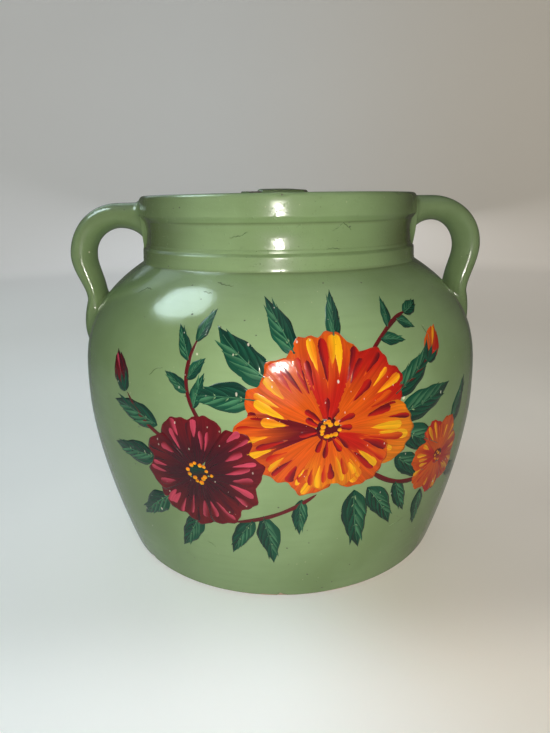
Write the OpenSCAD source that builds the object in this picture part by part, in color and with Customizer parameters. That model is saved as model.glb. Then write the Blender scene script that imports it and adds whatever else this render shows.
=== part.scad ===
// Two-handled stoneware cookie jar with a sunken lid that lifts out by its knob.
// Millimetres, +Z up. The origin is on the table under the middle of the foot,
// and the handles stand along X.

/* [Pot] */
// Radius of the belly at its widest
belly_radius = 100; // [90:0.5:120]
// Height of the widest part of the belly
belly_height = 78; // [60:1:95]
// Radius of the foot
foot_radius = 84.4; // [70:0.2:89]
// Fullness of the wall from foot to belly, where 1 is a straight taper
wall_fullness = 1.6; // [1.2:0.1:3]
// Height of the top of the shoulder, where the neck starts
shoulder_height = 141.5; // [125:0.5:165]
// Fullness of the shoulder, where more carries the belly further up
shoulder_fullness = 3.3; // [2:0.1:4]
// Thickness of the wall
wall = 7.5; // [5:0.1:9]
// Thickness of the floor
floor_thickness = 9; // [6:0.1:14]
// Rounding inside, between floor and wall
floor_round = 12; // [4:0.5:18]
// Rounding of the edge of the foot
foot_round = 2.5; // [1:0.1:4]
// Width of the flat ring that the pot stands on
foot_ring = 11; // [6:0.5:20]
// Depth of the recess inside that ring
foot_recess = 2.5; // [1:0.1:4]

/* [Neck] */
// Radius of the collar and of the ring at the bottom of the neck
neck_radius = 68.4; // [60:0.2:76]
// Height of the neck from the shoulder to the rim
neck_height = 31.1; // [28:0.1:40]
// Height of the upright face of the collar
collar_height = 9.5; // [6:0.1:12]
// Height of the roll under the collar
collar_roll = 2.4; // [1.5:0.1:4]
// Height of the ring at the bottom of the neck
ring_height = 6.2; // [4:0.1:8]
// Height of the slope from the ring in to the waist
ring_slope = 1.6; // [1:0.1:3]
// How far the waist of the neck lies in from the collar
waist_depth = 2.4; // [1.5:0.1:5]
// How far the waist flares out again above the ring
waist_flare = 0.8; // [0.3:0.1:2]
// Rounding of the edges of the rim
rim_round = 2; // [1:0.1:3]
// Fillet between the shoulder and the neck
neck_fillet = 1; // [0.5:0.1:4]

/* [Lid seat] */
// Thickness of the collar around the lid
collar_wall = 9.9; // [8:0.1:12]
// Depth of the seat below the rim
seat_depth = 15.6; // [12:0.1:18]
// Width of the ledge that the lid rests on
seat_width = 5.5; // [4:0.1:8]
// Thickness of the ledge
seat_thickness = 6; // [4:0.1:8]
// How far the ledge overhangs the inside of the neck
seat_overhang = 5; // [3:0.1:6]

/* [Handles] */
// How far a handle stands out from the collar
handle_reach = 38.2; // [30:0.1:50]
// Drop from the rim to the top of a handle
handle_drop = 2.1; // [0:0.1:5]
// Thickness of the strap where it leaves the collar, seen from the front
handle_thickness = 12.2; // [8:0.1:15]
// Thickness of the strap at the end of its bend
bend_thickness = 13.2; // [8:0.1:16]
// Thickness of the strap where it lands on the belly
landing_thickness = 11; // [7:0.1:14]
// Width of the strap around the pot
handle_width = 19; // [14:0.5:26]
// Extra width where the strap is smeared on to the pot
handle_spread = 4; // [0:0.5:8]
// Radius of the bend, along the middle of the strap
handle_bend = 19.3; // [15:0.1:22]
// Drop of the web under the strap at the neck
handle_web = 12; // [4:0.5:14]
// Depth of the root of the strap below the surface of the neck
handle_root = 2.5; // [1.5:0.1:4]
// Drop from the top of the shoulder to where the strap lands on the belly
handle_landing = 20.5; // [16:0.5:26]
// Distance from the belly to the middle of the strap where it lands
landing_rise = 4.1; // [2:0.1:6]
// Drop from the top of the shoulder to the end of the strap
handle_tail = 41.5; // [36:0.5:50]
// Depth of the end of the strap below the surface of the belly
handle_sink = 1.2; // [0.8:0.1:3]

/* [Lid] */
// Gap between the lid and the collar
lid_gap = 0.7; // [0.4:0.1:2]
// Thickness of the lid
lid_thickness = 6.5; // [5:0.1:9]
// Rounding of the edge of the lid
lid_round = 1.5; // [0.5:0.1:2]
// Gap between the locating rim and the ledge
locating_gap = 1.5; // [1:0.1:3]
// Depth of the locating rim under the lid
locating_depth = 6; // [3:0.1:10]
// Thickness of the locating rim
locating_wall = 6; // [4:0.1:10]

/* [Knob] */
// Radius of the knob
knob_radius = 17.5; // [13:0.1:24]
// Height of the knob above the lid
knob_height = 11.8; // [10:0.1:24]
// Height of the waist under the cap of the knob
knob_waist_height = 5.2; // [3:0.1:8]
// How far the waist lies in from the edge of the cap
knob_undercut = 5; // [2:0.1:8]
// How far the foot of the knob spreads from the waist
knob_foot = 2; // [0:0.1:4]
// Height of the dome of the cap
knob_dome = 1.4; // [0.5:0.1:3]
// Rounding of the edge of the cap
knob_round = 2; // [0.5:0.1:2.4]

/* [Hidden] */
$fn = 128;

sage_green = "#86a072";
// Steps along each long curve of the pot, and degrees between the points of a rounded edge
curve_steps = 12;
arc_step = 15;
// Degrees between the rings of a handle along its bend, rings along its leg and along its tail,
// and points around each ring
bend_step = 10;
leg_rings = 9;
tail_rings = 8;
strap_sides = 20;
// Rounding of the creases of the neck, of the hollow of its waist and of the small edges of the lid seat
crease_round = 0.7;
waist_round = 40;
seat_round = 1;

rim_height = shoulder_height + neck_height;
collar_bottom = rim_height - collar_height;
waist_top = collar_bottom - collar_roll;
ring_top = shoulder_height + ring_height;
waist_bottom = ring_top + ring_slope;
waist_radius = neck_radius - waist_depth;

mouth_radius = neck_radius - collar_wall;
throat_radius = mouth_radius - seat_width;
throat_relief = throat_radius + seat_overhang;
seat_height = rim_height - seat_depth;
ledge_bottom = seat_height - seat_thickness;

lid_radius = mouth_radius - lid_gap;
lid_top = seat_height + lid_thickness;
locating_radius = throat_radius - locating_gap;
locating_bottom = seat_height - locating_depth;
locating_inside = locating_radius - locating_wall;

// Outline of the pot: radius at a height, and how fast that radius grows with height
function outer_radius(z) = z < belly_height
    ? belly_radius - (belly_radius - foot_radius) * pow(1 - z / belly_height, wall_fullness)
    : belly_radius - (belly_radius - neck_radius) * pow(shoulder_part(z), shoulder_fullness);
function outer_slope(z) = z < belly_height
    ? (belly_radius - foot_radius) * wall_fullness / belly_height
        * pow(1 - z / belly_height, wall_fullness - 1)
    : -(belly_radius - neck_radius) * shoulder_fullness / (shoulder_height - belly_height)
        * pow(shoulder_part(z), shoulder_fullness - 1);
function shoulder_part(z) = (z - belly_height) / (shoulder_height - belly_height);

// Inside of the pot at a height, one wall in from the outside, measured square to the surface
function inner_radius(z) =
    max(throat_relief, outer_radius(z) - wall * sqrt(1 + pow(outer_slope(z), 2)));

// Points from one value to another in equal steps, with the first left out
function steps(from, to, count) = [for (i = [1:count]) from + (to - from) * i / count];

// Outline with its corners rounded: each corner is [radius, height, rounding]
function rounded(corners) = [
    for (i = [0:len(corners) - 1])
        let (
            corner = corners[i],
            before = corners[max(i - 1, 0)],
            after = corners[min(i + 1, len(corners) - 1)]
        )
        each corner[2] == 0
            ? [[corner[0], corner[1]]]
            : corner_arc([before[0], before[1]], [corner[0], corner[1]], [after[0], after[1]], corner[2])
];
function corner_arc(before, corner, after, radius) =
    let (
        u = (before - corner) / norm(before - corner),
        v = (after - corner) / norm(after - corner),
        half = acos(u * v) / 2,
        centre = corner + (u + v) / norm(u + v) * radius / sin(half),
        from = corner + u * radius / tan(half) - centre,
        to = corner + v * radius / tan(half) - centre,
        start = atan2(from.y, from.x),
        turn = (atan2(to.y, to.x) - start + 540) % 360 - 180,
        count = ceil(abs(turn) / arc_step)
    )
    [for (i = [0:count]) centre + radius * [cos(start + turn * i / count), sin(start + turn * i / count)]];

// Outside of the pot as corners, from the inner edge of the foot ring up to the rim
outer_corners = concat(
    [
        [foot_radius - foot_ring, 0, 0],
        [foot_radius, 0, foot_round]
    ],
    [for (z = steps(0, belly_height, curve_steps)) [outer_radius(z), z, 0]],
    [for (z = steps(belly_height, shoulder_height, curve_steps))
        if (z < shoulder_height) [outer_radius(z), z, 0]],
    [
        [neck_radius, shoulder_height, neck_fillet],
        [neck_radius, ring_top, crease_round],
        [waist_radius + waist_flare, waist_bottom, crease_round],
        [waist_radius, (waist_bottom + waist_top) / 2, waist_round],
        [waist_radius, waist_top, crease_round],
        [neck_radius, collar_bottom, rim_round],
        [neck_radius, rim_height, rim_round]
    ]
);

// Inside of the pot as corners, from the rim down past the lid seat to the middle of the floor
inner_corners = concat(
    [
        [mouth_radius, rim_height, rim_round],
        [mouth_radius, seat_height, seat_round],
        [throat_radius, seat_height, seat_round],
        [throat_radius, ledge_bottom, seat_round]
    ],
    [for (z = steps(shoulder_height + seat_round, floor_thickness + floor_round, 2 * curve_steps))
        [inner_radius(min(z, shoulder_height)), z, 0]],
    [
        [inner_radius(floor_thickness), floor_thickness, floor_round],
        [0, floor_thickness, 0]
    ]
);
foot_corners = [
    [0, foot_recess, 0],
    [foot_radius - foot_ring - foot_recess, foot_recess, 0]
];

// Middle line of a handle as [distance from the axis, height, thickness, web below]: out of the neck
// over its web, round the bend, down the leg to the belly and along it until the strap runs out
strap_top = rim_height - handle_drop - handle_thickness / 2;
bend_centre = [
    neck_radius + handle_reach - bend_thickness / 2 - handle_bend,
    strap_top - handle_bend
];
web_reach = bend_centre.x - waist_radius;
leg_start = bend_centre + [handle_bend, 0];
landing_height = shoulder_height - handle_landing;
tail_length = handle_tail - handle_landing;
landing = [outer_radius(landing_height) + landing_rise, landing_height];
landing_slope = [outer_slope(landing_height) + 2 * (landing_rise + handle_sink) / tail_length, 1];
leg_pull = norm(leg_start - landing) / 3;
strap_line = concat(
    [[waist_radius - handle_root, strap_top, handle_thickness, handle_web]],
    [for (turn = [90:-15:15]) [
        bend_centre.x - web_reach * sin(turn),
        strap_top,
        handle_thickness,
        handle_web * (1 - cos(turn))
    ]],
    [for (turn = [0:bend_step:90]) [
        bend_centre.x + handle_bend * sin(turn),
        bend_centre.y + handle_bend * cos(turn),
        handle_thickness + (bend_thickness - handle_thickness) * turn / 90,
        0
    ]],
    [for (t = steps(0, 1, leg_rings))
        let (point = bezier(
            leg_start,
            leg_start - [0, leg_pull],
            landing + leg_pull * landing_slope / norm(landing_slope),
            landing,
            t
        ))
        [point.x, point.y, bend_thickness + (landing_thickness - bend_thickness) * t, 0]],
    [for (t = steps(0, 1, tail_rings))
        let (z = landing_height - tail_length * t)
        [
            outer_radius(z) - handle_sink + (landing_rise + handle_sink) * pow(1 - t, 2),
            z,
            landing_thickness * (1 - 0.9 * pow(t, 3)),
            0
        ]]
);
function bezier(a, b, c, d, t) =
    pow(1 - t, 3) * a + 3 * t * pow(1 - t, 2) * b + 3 * t * t * (1 - t) * c + pow(t, 3) * d;

// One ring of the strap: an oval square to the middle line, wider near both ends
function strap_ring(i) =
    let (
        last = len(strap_line) - 1,
        here = strap_line[i],
        before = strap_line[max(i - 1, 0)],
        after = strap_line[min(i + 1, last)],
        along = [after.x - before.x, after.y - before.y],
        across = [along.y, -along.x] / norm(along),
        width = handle_width + handle_spread * pow(abs(2 * i / last - 1), 4)
    )
    [for (k = [0:strap_sides - 1])
        let (
            angle = 360 * k / strap_sides,
            half = here[2] / 2 + (cos(angle) > 0 ? here[3] : 0),
            point = [here.x, here.y] + across * half * cos(angle)
        )
        [point.x, width / 2 * sin(angle), point.y]];

// Solid skin over rings of points, closed at both ends
module loft(rings) {
    sides = len(rings[0]);
    last = len(rings) - 1;
    polyhedron(
        points = [for (ring = rings) each ring],
        faces = concat(
            [[for (k = [0:sides - 1]) k]],
            [for (i = [0:last - 1], k = [0:sides - 1])
                let (next = (k + 1) % sides)
                each [
                    [i * sides + k, (i + 1) * sides + k, (i + 1) * sides + next],
                    [i * sides + k, (i + 1) * sides + next, i * sides + next]
                ]],
            [[for (k = [sides - 1:-1:0]) last * sides + k]]
        )
    );
}

module turned(corners) {
    rotate_extrude()
        polygon(rounded(corners));
}

module jar_body() {
    color(sage_green)
        turned(concat(foot_corners, outer_corners, inner_corners));
}

// Strap that stands towards +X, trimmed to the outside of the pot
module handle() {
    difference() {
        loft([for (i = [0:len(strap_line) - 1]) strap_ring(i)]);
        turned(concat(outer_corners, [[0, rim_height, 0], [0, 0, 0]]));
    }
}

module left_handle() {
    color(sage_green)
        mirror([1, 0, 0])
            handle();
}

module right_handle() {
    color(sage_green)
        handle();
}

module lid() {
    color(sage_green)
        turned([
            [0, lid_top, 0],
            [lid_radius, lid_top, lid_round],
            [lid_radius, seat_height, lid_round],
            [locating_radius, seat_height, 0],
            [locating_radius, locating_bottom, lid_round],
            [locating_inside, locating_bottom, lid_round],
            [locating_inside, seat_height, lid_round],
            [0, seat_height, 0]
        ]);
}

module lid_knob() {
    knob_waist = knob_radius - knob_undercut;
    knob_top = lid_top + knob_height;
    color(sage_green)
        turned([
            [0, lid_top, 0],
            [knob_waist + knob_foot, lid_top, 0],
            [knob_waist, lid_top + knob_waist_height / 2, knob_round],
            [knob_radius, lid_top + knob_waist_height, knob_round],
            [knob_radius, knob_top - knob_dome, knob_round],
            [knob_radius / 2, knob_top, knob_radius],
            [0, knob_top, 0]
        ]);
}

jar_body();
left_handle();
right_handle();
lid();
lid_knob();
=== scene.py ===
import math

import bpy
import numpy as np
from mathutils import Matrix, Vector


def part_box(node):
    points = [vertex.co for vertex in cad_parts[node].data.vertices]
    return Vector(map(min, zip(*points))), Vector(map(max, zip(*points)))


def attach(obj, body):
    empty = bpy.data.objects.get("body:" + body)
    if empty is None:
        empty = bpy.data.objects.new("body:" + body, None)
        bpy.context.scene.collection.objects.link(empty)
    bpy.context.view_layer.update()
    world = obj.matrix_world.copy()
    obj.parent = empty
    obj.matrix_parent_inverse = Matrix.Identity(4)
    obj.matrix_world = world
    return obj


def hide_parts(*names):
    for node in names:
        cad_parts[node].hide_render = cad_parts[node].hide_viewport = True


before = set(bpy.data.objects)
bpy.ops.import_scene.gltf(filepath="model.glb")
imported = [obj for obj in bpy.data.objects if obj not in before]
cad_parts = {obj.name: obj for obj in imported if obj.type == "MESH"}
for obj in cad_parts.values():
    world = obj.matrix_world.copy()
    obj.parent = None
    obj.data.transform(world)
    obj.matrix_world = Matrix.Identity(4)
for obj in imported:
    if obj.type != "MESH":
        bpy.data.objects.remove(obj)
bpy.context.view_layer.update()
mm = 0.001  # shapes below are worked out in millimetres and scaled when a mesh is made
print("frame loaded:", ", ".join(sorted(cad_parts)))


# Small helpers for shapes

def boxMm(nodeName):
    low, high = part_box(nodeName)
    return np.array(low) / mm, np.array(high) / mm


def runLength(points):
    # distance from the start of a row of points to each of them
    return np.r_[0, np.cumsum(np.linalg.norm(np.diff(points, axis=0), axis=1))]


def directions(points):
    along = np.gradient(points, axis=0)
    return along / np.linalg.norm(along, axis=1)[:, None]


def ringFaces(count, rings, base=0):
    # quads between neighbouring rings of points
    faces = []
    for i in range(rings - 1):
        for k in range(count):
            a, b = base + i * count + k, base + i * count + (k + 1) % count
            faces.append((a, b, b + count, a + count))
    return faces


def smoothStep(low, high, value):
    t = np.clip((value - low) / (high - low), 0, 1)
    return t * t * (3 - 2 * t)


def roundCorners(corners, arcStep=6, coarseFrom=None):
    # corners are (radius, height, rounding); returns the outline with an arc at each rounded corner
    outline = []
    for i, (r, z, rounding) in enumerate(corners):
        here = np.array((r, z), float)
        if rounding == 0:
            outline.append(here)
            continue
        before = np.array(corners[i - 1][:2], float) - here
        after = np.array(corners[i + 1][:2], float) - here
        u = before / np.linalg.norm(before)
        v = after / np.linalg.norm(after)
        half = math.acos(np.clip(u @ v, -1, 1)) / 2
        middle = here + (u + v) / np.linalg.norm(u + v) * rounding / math.sin(half)
        first = here + u * rounding / math.tan(half) - middle
        last = here + v * rounding / math.tan(half) - middle
        start = math.atan2(first[1], first[0])
        turn = (math.atan2(last[1], last[0]) - start + 3 * math.pi) % (2 * math.pi) - math.pi
        step = arcStep if coarseFrom is None or i < coarseFrom else 3 * arcStep
        count = max(2, math.ceil(abs(math.degrees(turn)) / step))
        for k in range(count + 1):
            angle = start + turn * k / count
            outline.append(middle + rounding * np.array((math.cos(angle), math.sin(angle))))
    return np.array(outline)


def resample(outline, spacing):
    # keeps every point of the outline and fills stretches that are longer than the spacing there
    filled = [outline[0]]
    for a, b in zip(outline[:-1], outline[1:]):
        length = np.linalg.norm(b - a)
        if length < 1e-6:
            continue
        count = max(1, math.ceil(length / spacing(*(a + b) / 2)))
        filled += [a + (b - a) * k / count for k in range(1, count + 1)]
    return np.array(filled)


def lathe(outline, around, shape=None):
    # turns an outline of (radius, height) about Z; a point on the axis becomes a single pole
    theta = np.arange(around) * 2 * math.pi / around
    verts, rings = [], []
    for r, z in outline:
        if r < 1e-6:
            rings.append([len(verts)])
            verts.append((0, 0, z))
            continue
        radius = r + (shape(theta, z) if shape else 0 * theta)
        rings.append(list(range(len(verts), len(verts) + around)))
        verts += zip(radius * np.sin(theta), -radius * np.cos(theta), np.full(around, z))
    faces = []
    for lower, upper in zip(rings[:-1], rings[1:]):
        for k in range(around):
            nextK = (k + 1) % around
            if len(lower) == 1:
                faces.append((lower[0], upper[nextK], upper[k]))
            elif len(upper) == 1:
                faces.append((lower[k], lower[nextK], upper[0]))
            else:
                faces.append((lower[k], lower[nextK], upper[nextK], upper[k]))
    return np.array(verts, float), faces


def addPiece(name, verts, faces, body, material, nodes=(), slot="pot_paint", **masks):
    mesh = bpy.data.meshes.new(name)
    mesh.from_pydata((np.asarray(verts) * mm).tolist(), [], faces)
    mesh.shade_smooth()
    mesh.materials.append(material)
    piece = bpy.data.objects.new(name, mesh)
    bpy.context.scene.collection.objects.link(piece)
    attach(piece, body)
    if nodes:
        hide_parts(*nodes)
    for mask, values in masks.items():
        paintMask(piece, mask, values)
    return piece


def paintMask(piece, name, values, kind="FLOAT", field="value"):
    mask = piece.data.attributes.new(name, kind, "POINT")
    mask.data.foreach_set(field, np.asarray(values, np.float32).ravel())


def linear(hexColour):
    # colour as written, such as "86a072", turned to linear values
    parts = np.array([int(hexColour[i:i + 2], 16) / 255 for i in (0, 2, 4)])
    return np.where(parts <= 0.04045, parts / 12.92, ((parts + 0.055) / 1.055) ** 2.4)


def rgba(hexColour):
    return (*linear(hexColour), 1)


# Camera, at the photograph's view

view = {
    "frameWidthPx": 550,
    "frameHeightPx": 733,
    "focalPx": 556,
    "axisPx": 280,  # column that the axis of the jar stands in
    "distance": 293,
    "height": 168.8,
    "azimuth": -3.6,
    "pitch": 16.44,
    "roll": 0.88,
    "sensor": 36,
}


def makeCamera():
    data = bpy.data.cameras.new("camera")
    data.sensor_width = view["sensor"]
    data.lens = view["sensor"] * view["focalPx"] / view["frameHeightPx"]
    data.clip_start = 0.01
    camera = bpy.data.objects.new("camera", data)
    bpy.context.scene.collection.objects.link(camera)
    azimuth = math.radians(view["azimuth"])
    place = Vector((math.sin(azimuth), -math.cos(azimuth), 0)) * view["distance"]
    place.z = view["height"]
    pan = math.atan((view["axisPx"] - view["frameWidthPx"] / 2) / view["focalPx"])
    camera.matrix_world = (
        Matrix.Translation(place * mm)
        @ Matrix.Rotation(azimuth + pan, 4, "Z")
        @ Matrix.Rotation(math.radians(90 - view["pitch"]), 4, "X")
        @ Matrix.Rotation(-math.radians(view["roll"]), 4, "Z")
    )
    bpy.context.scene.camera = camera


makeCamera()
print("camera placed")


# Node helpers

def node(tree, kind, links=None, **settings):
    made = tree.nodes.new("ShaderNode" + kind)
    for key, value in settings.items():
        setattr(made, key, value)
    for key, value in (links or {}).items():
        if isinstance(value, bpy.types.NodeSocket):
            tree.links.new(value, made.inputs[key])
        else:
            made.inputs[key].default_value = value
    return made


def maths(tree, operation, *values):
    return node(tree, "Math", dict(enumerate(values)), operation=operation).outputs[0]


def times(tree, first, second):
    return maths(tree, "MULTIPLY", first, second)


def plus(tree, first, second):
    return maths(tree, "ADD", first, second)


def ramp(tree, value, low, high, toLow=0.0, toHigh=1.0):
    links = {"Value": value, "From Min": low, "From Max": high, "To Min": toLow, "To Max": toHigh}
    return node(tree, "MapRange", links, interpolation_type="SMOOTHSTEP").outputs["Result"]


def mixColour(tree, factor, first, second, blend="MIX"):
    made = node(tree, "Mix", {0: factor, 6: first, 7: second}, data_type="RGBA", blend_type=blend)
    return made.outputs[2]


def noise(tree, vector, scale, detail=2.0):
    return node(tree, "TexNoise", {"Vector": vector, "Scale": scale, "Detail": detail}).outputs[0]


def stretched(tree, vector, scale):
    return node(tree, "Mapping", {"Vector": vector, "Scale": scale}).outputs[0]


def attribute(tree, name, output="Fac"):
    return node(tree, "Attribute", attribute_name=name).outputs[output]


def objectPlace(tree):
    return node(tree, "TexCoord").outputs["Object"]


def makeGroup(name, inputs, outputs):
    tree = bpy.data.node_groups.new(name, "ShaderNodeTree")
    for socketName, kind, value in inputs:
        socket = tree.interface.new_socket(name=socketName, in_out="INPUT", socket_type="NodeSocket" + kind)
        if value is not None:
            socket.default_value = value
    for socketName, kind in outputs:
        tree.interface.new_socket(name=socketName, in_out="OUTPUT", socket_type="NodeSocket" + kind)
    return tree, tree.nodes.new("NodeGroupInput").outputs, tree.nodes.new("NodeGroupOutput").inputs


def makeSpecks():
    # scattered round specks: one in each of some cells, with a ragged edge
    tree, given, result = makeGroup(
        "scatteredSpecks",
        [("Vector", "Vector", None), ("Scale", "Float", 200), ("Size", "Float", 0.1), ("Share", "Float", 0.2)],
        [("Mask", "Float")],
    )
    cells = node(tree, "TexVoronoi", {"Vector": given["Vector"], "Scale": given["Scale"]})
    draw = node(tree, "SeparateColor", {"Color": cells.outputs["Color"]})
    chosen = maths(tree, "LESS_THAN", draw.outputs[0], given["Share"])
    size = times(tree, given["Size"], ramp(tree, draw.outputs[1], 0, 1, 0.4, 1.3))
    ragged = noise(tree, given["Vector"], times(tree, given["Scale"], 9))
    reach = plus(tree, maths(tree, "DIVIDE", cells.outputs["Distance"], size), ragged)
    tree.links.new(times(tree, chosen, ramp(tree, reach, 1.15, 1.5, 1, 0)), result["Mask"])
    return tree


specks = makeSpecks()


def addSpecks(tree, colour, vector, kind, age=1):
    # lays scattered specks over a colour, and gives their mask too
    links = {"Vector": vector, "Scale": kind["scale"], "Size": kind["size"], "Share": kind["share"]}
    mask = times(tree, node(tree, "Group", links, node_tree=specks).outputs[0], age)
    return mixColour(tree, times(tree, mask, kind["cover"]), colour, rgba(kind["colour"])), mask


def makeEnamelSkin():
    # aged brushed enamel over clay: mottled colour, pits, pinholes and chips that show the clay
    tree, given, result = makeGroup(
        "enamelSkin",
        [
            ("Vector", "Vector", None),
            ("Colour", "Color", (0.2, 0.3, 0.15, 1)),
            ("Deep Colour", "Color", (0.15, 0.25, 0.1, 1)),
            ("Clay Colour", "Color", (0.5, 0.35, 0.25, 1)),
            ("Chip", "Float", 0),
            ("Age", "Float", 1),
            ("Grit", "Float", 1),
        ],
        [("Colour", "Color"), ("Roughness", "Float"), ("Height", "Float")],
    )
    vector = given["Vector"]
    cloudy = noise(tree, vector, enamel["cloud"], 4)
    colour = mixColour(tree, ramp(tree, cloudy, 0.35, 0.7), given["Colour"], given["Deep Colour"])
    brushed = noise(tree, stretched(tree, vector, enamel["brushed"]), 1, 3)
    brushed = ramp(tree, brushed, 0.42, 0.75, 0, enamel["brushedShare"])
    colour = mixColour(tree, brushed, colour, given["Deep Colour"])
    dirt = ramp(tree, noise(tree, vector, 9, 6), 0.56, 0.8, 0, enamel["dirtShare"])
    colour = mixColour(tree, dirt, colour, rgba(enamel["dirt"]))
    colour, pits = addSpecks(tree, colour, vector, enamel["pits"], given["Age"])
    for name in ("pinholes", "flecks"):
        colour = addSpecks(tree, colour, vector, enamel[name], given["Age"])[0]
    frayed = plus(tree, given["Chip"], times(tree, noise(tree, vector, 900, 3), 0.5))
    chip = ramp(tree, frayed, 0.62, 0.72)
    grit = times(tree, noise(tree, vector, 1400, 3), 0.25)
    clay = mixColour(tree, grit, given["Clay Colour"], rgba(enamel["clayGrit"]))
    tree.links.new(mixColour(tree, chip, colour, clay), result["Colour"])
    worn = ramp(tree, noise(tree, vector, 60, 5), 0.4, 0.75, *enamel["rough"])
    rough = plus(tree, worn, times(tree, maths(tree, "MAXIMUM", pits, chip), enamel["roughChip"]))
    tree.links.new(rough, result["Roughness"])
    scale, high = enamel["peel"]
    peel = times(tree, noise(tree, vector, scale, 2), high)
    scale, high = enamel["dust"]
    dust = ramp(tree, noise(tree, vector, scale, 2), 0.58, 0.72, 0, high)
    peel = plus(tree, peel, times(tree, dust, given["Grit"]))
    scale, high = enamel["ripple"]
    ripple = times(tree, noise(tree, stretched(tree, vector, scale), 1, 2), high)
    relief = plus(tree, peel, ripple)
    relief = maths(tree, "SUBTRACT", relief, times(tree, pits, enamel["pitDepth"]))
    relief = maths(tree, "SUBTRACT", relief, times(tree, chip, enamel["chipDepth"]))
    tree.links.new(relief, result["Height"])
    return tree


def surface(name, rough=0.5):
    # a new material with its Principled shader
    material = bpy.data.materials.new(name)
    material.use_nodes = True
    shader = material.node_tree.nodes["Principled BSDF"]
    shader.inputs["Roughness"].default_value = rough
    return material, material.node_tree, shader


def bump(tree, shader, height, distance):
    made = node(tree, "Bump", {"Height": height, "Distance": distance, "Strength": 1})
    tree.links.new(made.outputs[0], shader.inputs["Normal"])


enamel = {
    "green": "8aa578",
    "deepGreen": "7c9668",
    # colour of the painted shade that darkens the enamel beside the handles, in the neck's creases, over the
    # handles and round the knob's top
    "grime": "4a4f2c",
    "clay": "b08e78",
    "darkClay": "2a1912",
    "rimClay": "2c2d16",
    "clayGrit": "d8c4ae",
    "dirt": "6c7c4c",
    "pits": {"scale": 250, "size": 0.1, "share": 0.42, "cover": 0.75, "colour": "2b2a1c"},
    "pinholes": {"scale": 300, "size": 0.08, "share": 0.3, "cover": 0.4, "colour": "c9c7a8"},
    "flecks": {"scale": 70, "size": 0.045, "share": 0.6, "cover": 0.85, "colour": "e6e2cf"},
    "cloud": 22,  # scale of the mottling
    "brushed": (40, 40, 420),
    "brushedShare": 0.22,
    "dirtShare": 0.3,
    "rough": (0.12, 0.19),
    "roughChip": 0.5,
    "peel": (420, 0.3),  # scale and height, as in the next two
    "dust": (1300, 0.3),
    "ripple": ((30, 30, 260), 0.5),
    "pitDepth": 0.6,
    "chipDepth": 0.8,
    "relief": 0.00012,
    "potGrit": (0.13, 0.145, 0.4, 1.8),  # dust on the belly and the neck, between two heights in metres
    "lidGrit": 0.6,
    "dullNeck": (0.135, 0.145, 0, 0.04),
    "rimFrom": (0.05, 0.1),  # heights between which the chips turn as dark as at the rim
    "footWear": 0.8,  # height of the bare line at the foot, in millimetres
}
enamelSkin = makeEnamelSkin()


def makeEnamel(name, age, clay, footWear=0.0):
    material, tree, shader = surface(name)
    place = objectPlace(tree)
    chip = attribute(tree, "chip")
    clay = rgba(clay)
    grit, dull = enamel["lidGrit"], 0
    if footWear:
        height = node(tree, "SeparateXYZ", {"Vector": place}).outputs["Z"]
        clay = mixColour(tree, ramp(tree, height, *enamel["rimFrom"]), clay, rgba(enamel["rimClay"]))
        ragged = times(tree, noise(tree, place, 130, 4), 2 * footWear * mm)
        low = ramp(tree, maths(tree, "SUBTRACT", height, ragged), 0, footWear * mm * 0.4, 1, 0)
        chip = maths(tree, "MAXIMUM", chip, low)
        grit = ramp(tree, height, *enamel["potGrit"])
        dull = ramp(tree, height, *enamel["dullNeck"])
    links = {
        "Vector": place,
        "Colour": rgba(enamel["green"]),
        "Deep Colour": rgba(enamel["deepGreen"]),
        "Clay Colour": clay,
        "Chip": chip,
        "Age": age,
        "Grit": grit,
    }
    skin = node(tree, "Group", links, node_tree=enamelSkin)
    # painted shade: mixes the enamel towards that dark olive wherever the piece's shade mask says
    colour = mixColour(tree, attribute(tree, "grime"), skin.outputs["Colour"], rgba(enamel["grime"]))
    tree.links.new(colour, shader.inputs["Base Color"])
    tree.links.new(plus(tree, skin.outputs["Roughness"], dull), shader.inputs["Roughness"])
    bump(tree, shader, skin.outputs["Height"], enamel["relief"])
    return material


glaze = {
    "cream": "cdbb98",
    "tan": "a98d68",
    "iron": {"scale": 260, "size": 0.12, "share": 0.3, "cover": 0.6, "colour": "5a3d24"},
    "rough": 0.22,
    "relief": 0.0001,
}
clayLook = {"clay": "c7a184", "dark": "a67c5d", "grit": "e0cbb2", "rough": 0.85, "relief": 0.0002}
strokeLook = {
    "flakes": [
        {"scale": 210, "size": 0.085, "share": 0.4, "cover": 0.85, "colour": "d4d0be"},
        {"scale": 400, "size": 0.1, "share": 0.4, "cover": 0.6, "colour": "d4d0be"},
    ],
    "tones": (0.72, 1.15),  # how dark and how light the bristle streaks are
    "rough": (0.085, 0.18),
    "relief": 0.00004,
}


def makeGlaze():
    # clear glaze over buff clay, inside the pot
    material, tree, shader = surface("insideGlaze", glaze["rough"])
    place = objectPlace(tree)
    cloudy = ramp(tree, noise(tree, place, 35, 5), 0.35, 0.7)
    colour = mixColour(tree, cloudy, rgba(glaze["cream"]), rgba(glaze["tan"]))
    colour = addSpecks(tree, colour, place, glaze["iron"])[0]
    tree.links.new(colour, shader.inputs["Base Color"])
    rings = noise(tree, stretched(tree, place, (20, 20, 300)), 1, 2)
    bump(tree, shader, rings, glaze["relief"])
    return material


def makeBareClay():
    material, tree, shader = surface("bareClay", clayLook["rough"])
    place = objectPlace(tree)
    colour = mixColour(tree, noise(tree, place, 60, 5), rgba(clayLook["clay"]), rgba(clayLook["dark"]))
    grit = noise(tree, place, 1500, 3)
    colour = mixColour(tree, ramp(tree, grit, 0.55, 0.8, 0, 0.5), colour, rgba(clayLook["grit"]))
    tree.links.new(colour, shader.inputs["Base Color"])
    bump(tree, shader, grit, clayLook["relief"])
    return material


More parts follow.
